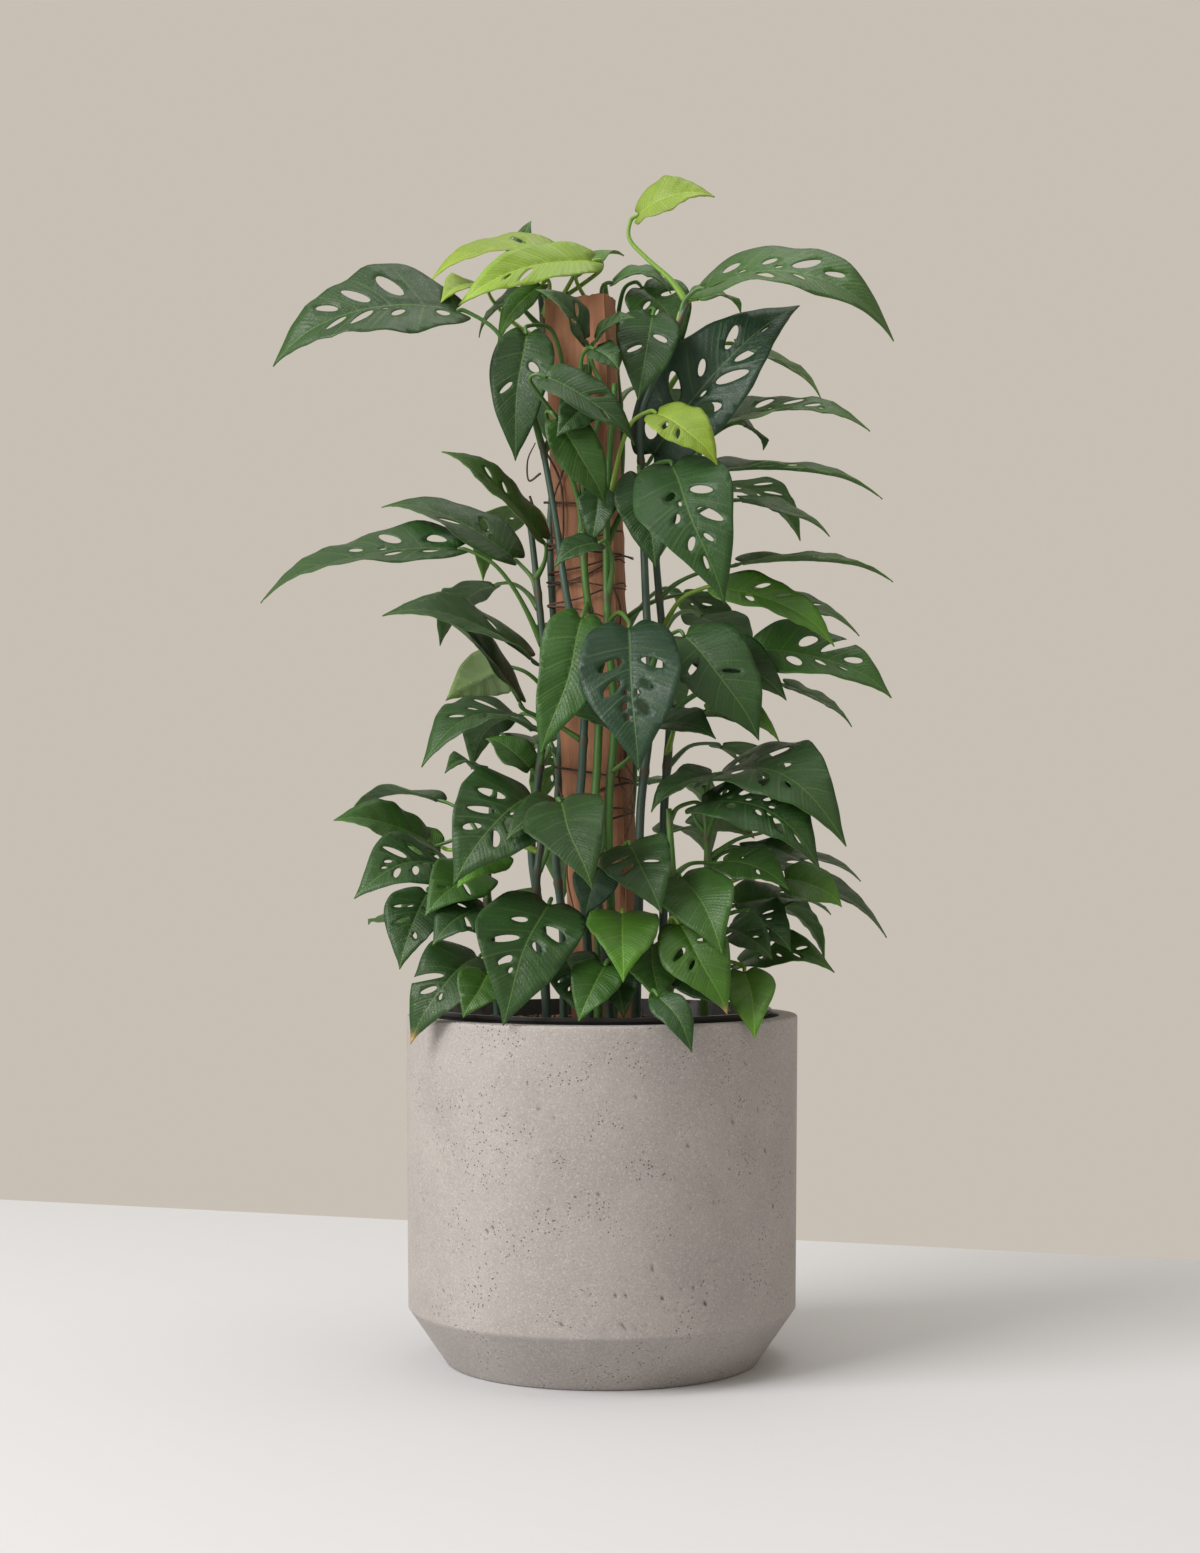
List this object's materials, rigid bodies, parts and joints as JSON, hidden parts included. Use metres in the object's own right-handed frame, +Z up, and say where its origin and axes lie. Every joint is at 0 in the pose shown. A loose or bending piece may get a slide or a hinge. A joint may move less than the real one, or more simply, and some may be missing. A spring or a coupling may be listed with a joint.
{
  "type": "potted monstera adansonii on a board",
  "caption": "Climbing Swiss cheese plant with windowed leaves, trained up a rough board in a nursery pot inside a straight concrete planter.",
  "frame": {"origin": "centre of the planter's flat underside, on the surface that it stands on", "axes": "+Z up the planter's axis, -Y towards the front, +X to the right seen from the front"},
  "size_m": [0.5213, 0.4427, 0.9653],
  "materials": {
    "concrete": "matte",
    "black_plastic": "satin",
    "potting_mix": "matte",
    "rough_wood": "matte",
    "leaf_green": "satin"
  },
  "bodies": {
    "root": {"planter": "concrete", "grow_pot": "black_plastic", "soil": "potting_mix", "board": "rough_wood", "vine_left_front": "leaf_green", "vine_left_side": "leaf_green", "vine_back_left": "leaf_green", "vine_left_low": "leaf_green", "vine_front_left": "leaf_green", "vine_front": "leaf_green", "vine_front_right": "leaf_green", "vine_right_low": "leaf_green", "vine_right": "leaf_green", "vine_right_side": "leaf_green", "vine_back_right": "leaf_green", "vine_middle_right": "leaf_green", "vine_middle_left": "leaf_green", "vine_back": "leaf_green"}
  },
  "joints": []
}
